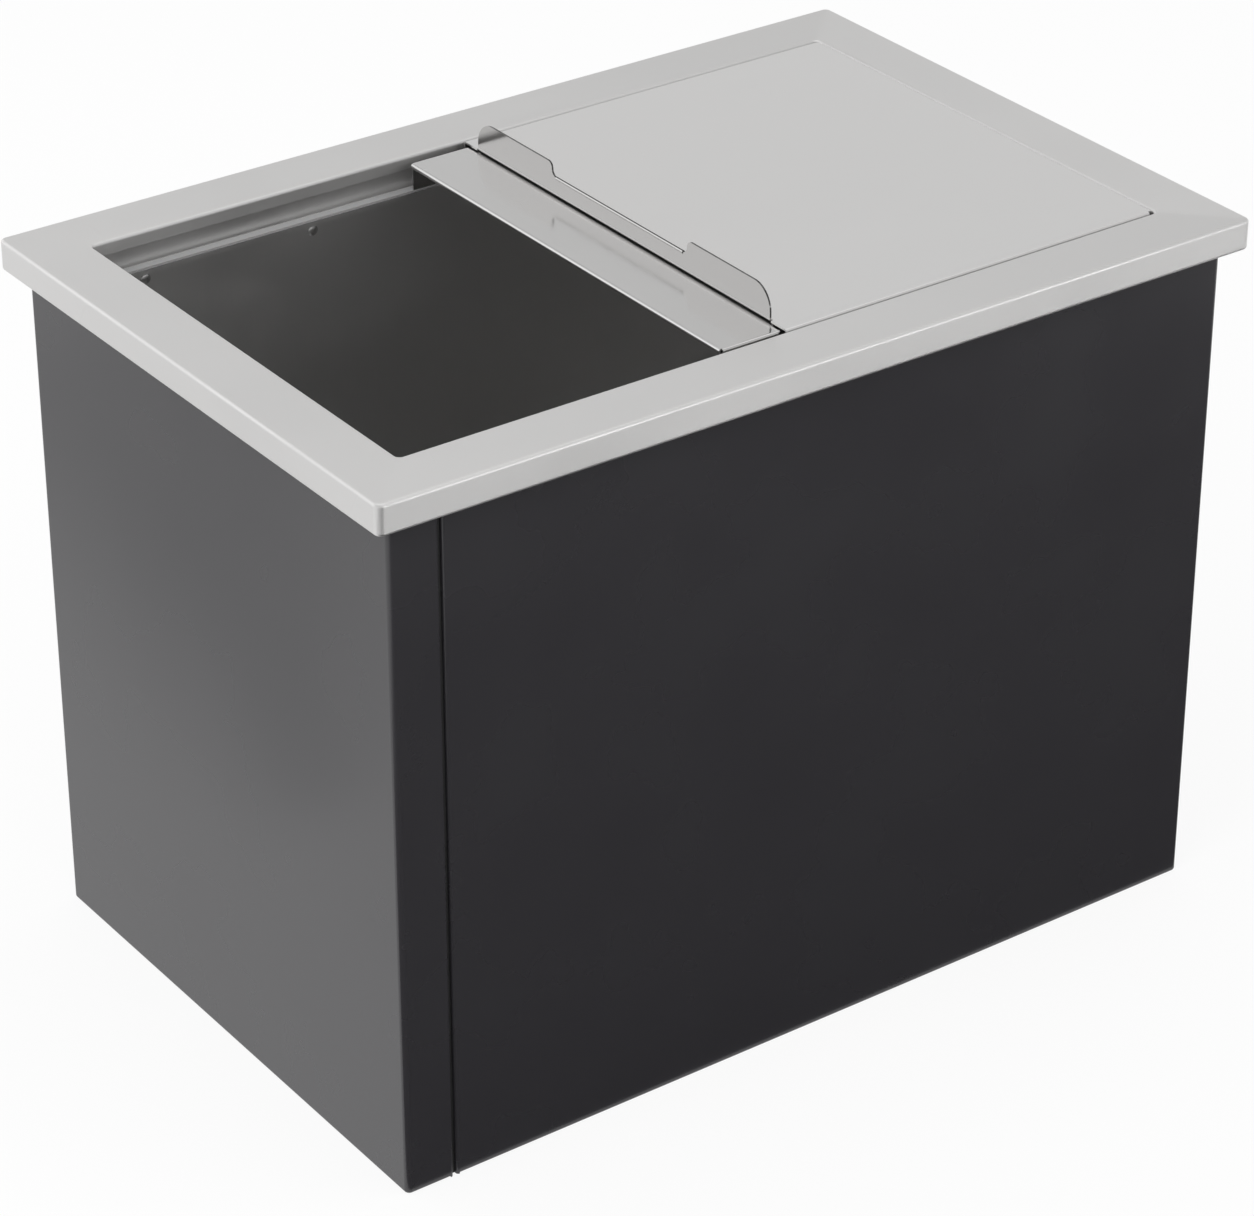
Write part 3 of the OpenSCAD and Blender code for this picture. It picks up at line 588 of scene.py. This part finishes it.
def stand_fasteners(tree, sockets, node, shape, heads, finish):
    """Stands one shape at each solid of a CAD node and lets them replace the node.
    heads gives the direction that the head at a place looks in."""
    boxes = solids(node)
    places = [(low + high) / 2 for low, high in boxes]
    axis = max(range(3), key=lambda i: abs(heads(places[0])[i]))
    size = boxes[0][1] - boxes[0][0]
    head_r = size[axis - 1] / 2
    single = add_object(node + "_single", shape(node + "_single", head_r, size[axis]))
    cloud = bpy.data.meshes.new(node + "_points")
    cloud.from_pydata(places, [], [])
    turns = cloud.attributes.new("turn", "FLOAT_VECTOR", "POINT")
    for point, place in zip(turns.data, places):
        point.vector = heads(place).to_track_quat("Z", "Y").to_euler()
    points = add_object(node + "_points", cloud)
    repeat = points.modifiers.new("repeat", "NODES")
    repeat.node_group = tree
    repeat[sockets["Fastener"]] = single
    repeat[sockets["Finish"]] = finish
    repeat[sockets["Most spin"]] = math.tau
    repeat[sockets["Seed"]] = SPIN_SEED
    seen = points.evaluated_get(bpy.context.evaluated_depsgraph_get())
    piece = add_object("dressed_" + node, bpy.data.meshes.new_from_object(seen))
    bpy.data.objects.remove(points)
    bpy.data.objects.remove(single)
    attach(piece, "bin")
    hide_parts(node)


def make_fasteners():
    tree, sockets = repeat_tree()
    steel = rivet_steel()
    kinds = [("seam_rivets", rivet_mesh, lambda at: Vector((-1, 0, 0))),
             ("flange_rivets", rivet_mesh, lambda at: Vector((0, 0, 1))),
             ("rail_rivets", rivet_mesh, lambda at: Vector((0, -math.copysign(1, at.y), 0))),
             ("base_screws", screw_mesh, lambda at: Vector((0, 0, -1)))]
    for node, shape, heads in kinds:
        stand_fasteners(tree, sockets, node, shape, heads, steel)


def make_camera():
    forward = Vector((-math.sin(AZIMUTH) * math.cos(ELEVATION),
                      math.cos(AZIMUTH) * math.cos(ELEVATION), -math.sin(ELEVATION)))
    right = forward.cross(Vector((0, 0, 1))).normalized()
    up = right.cross(forward)
    data = bpy.data.cameras.new("camera")
    camera = add_object("camera", data)
    data.sensor_fit = "HORIZONTAL"
    data.sensor_width = SENSOR
    data.lens = LENS
    data.clip_start = CLIP_NEAR
    data.clip_end = CLIP_FAR
    turn = Matrix((right, up, -forward)).transposed()
    eye = LOOK_AT - forward * DISTANCE + right * SIDE_STEP - up * DOWN_STEP
    camera.matrix_world = Matrix.Translation(eye) @ turn.to_4x4()
    bpy.context.scene.camera = camera


def lamp(name, at, size, watts, mirrored=True):
    """A soft lamp that faces the part. Gloss shows it only where it is mirrored."""
    data = bpy.data.lights.new(name, "AREA")
    data.shape = "RECTANGLE"
    data.size, data.size_y = size
    data.energy = watts
    light = add_object(name, data)
    light.location = at
    light.rotation_mode = "QUATERNION"
    light.rotation_quaternion = (LOOK_AT - Vector(at)).to_track_quat("-Z", "Y")
    light.visible_camera = False
    light.visible_glossy = mirrored


def rectangle(low, high):
    return [(low[0], low[1]), (high[0], low[1]), (high[0], high[1]), (low[0], high[1])]


def stage_plane(name, outline, level):
    """A level sheet of the stage with four corners in X and Y."""
    mesh = bpy.data.meshes.new(name)
    mesh.from_pydata([(x, y, level) for x, y in outline], [], [range(4)])
    made = add_object(name, mesh)
    return made


def backdrop_rays(finish):
    """1 for the rays that see the backdrop itself: camera, gloss and glass."""
    rays = finish.node("ShaderNodeLightPath")
    straight = finish.math("MAXIMUM", rays.outputs["Is Camera Ray"], rays.outputs["Is Glossy Ray"])
    return finish.math("MAXIMUM", straight, rays.outputs["Is Transmission Ray"])


def make_floor():
    outline = rectangle((-FLOOR_REACH, -FLOOR_REACH), (FLOOR_REACH, FLOOR_REACH))
    floor = stage_plane("floor", outline, 0)
    finish = Finish("pale_floor")
    finish.set(base_color=grey(FLOOR_GREY), roughness=0.9)
    glow = finish.node("ShaderNodeEmission")
    mix = finish.node("ShaderNodeMixShader")
    share = finish.math("MULTIPLY", backdrop_rays(finish), FLOOR_GLOW)
    share_in, plain_in, glow_in = mix.inputs
    finish.link(share, share_in)
    finish.link(finish.shader.outputs["BSDF"], plain_in)
    finish.link(glow.outputs["Emission"], glow_in)
    finish.link(mix.outputs["Shader"], finish.tree.nodes["Material Output"].inputs["Surface"])
    floor.data.materials.append(finish.material)


def make_card(name, outline, shade):
    """A matt card that lies on the floor and that only gloss can see: a painted reflection."""
    card = stage_plane(name, outline, CARD_Z)
    finish = Finish(name)
    finish.set(base_color=grey(shade), roughness=1.0)
    card.data.materials.append(finish.material)
    card.visible_camera = False
    card.visible_diffuse = False
    card.visible_transmission = False
    card.visible_shadow = False


def make_cards():
    """Painted reflections: a dark card before the long front, which the front mirrors as dark, and
    a grey strip that lies aslant on the left and draws a soft reflected band across the left end."""
    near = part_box("main_casing")[0].y - DARK_GAP
    make_card("dark_card", rectangle((DARK_LEFT, DARK_FAR), (DARK_RIGHT, near)), shade=0.01)
    make_card("grey_strip", STRIP_CORNERS, shade=0.5)


def make_world():
    """A soft room that the camera sees as plain white."""
    world = bpy.data.worlds.new("soft_room")
    bpy.context.scene.world = world
    world.use_nodes = True
    tree = world.node_tree
    background = tree.nodes["Background"]
    rays = tree.nodes.new("ShaderNodeLightPath")
    height = tree.nodes.new("ShaderNodeSeparateXYZ")
    direction = tree.nodes.new("ShaderNodeTexCoord")
    tree.links.new(direction.outputs["Generated"], height.inputs["Vector"])
    dusk = tree.nodes.new("ShaderNodeMapRange")
    dusk.inputs["From Min"].default_value = ROOM_LOW
    dusk.inputs["From Max"].default_value = ROOM_HIGH
    dusk.inputs["To Min"].default_value = 1.0
    dusk.inputs["To Max"].default_value = ROOM_DIMMEST
    tree.links.new(height.outputs["Z"], dusk.inputs["Value"])
    level = tree.nodes.new("ShaderNodeMix")
    level.data_type = "RGBA"
    for_others, for_camera, out = MIX_SOCKETS["RGBA"]
    tree.links.new(dusk.outputs["Result"], level.inputs[for_others])
    level.inputs[for_camera].default_value = WHITE
    tree.links.new(rays.outputs["Is Camera Ray"], level.inputs["Factor"])
    tree.links.new(level.outputs[out], background.inputs["Color"])
    background.inputs["Strength"].default_value = 1


def make_lamps():
    lamp("key_left", at=(-2.2, -0.6, 1.6), size=(1.6, 1.6), watts=30, mirrored=False)
    lamp("top", at=(0.1, 0.1, 2.6), size=(3.0, 3.0), watts=19)
    lamp("front_right", at=(1.3, -1.4, 1.7), size=(1.0, 1.0), watts=6, mirrored=False)
    lamp("low_front", at=(0.8, -1.95, 0.22), size=(1.6, 0.3), watts=7)
    lamp("back_left", at=(-1.7, 2.0, 1.5), size=(4.0, 2.0), watts=13)


def main():
    make_camera()
    make_world()
    make_floor()
    make_cards()
    make_lamps()
    finish_cad_nodes()
    make_fasteners()
    bpy.context.scene.view_settings.view_transform = "Standard"


main()
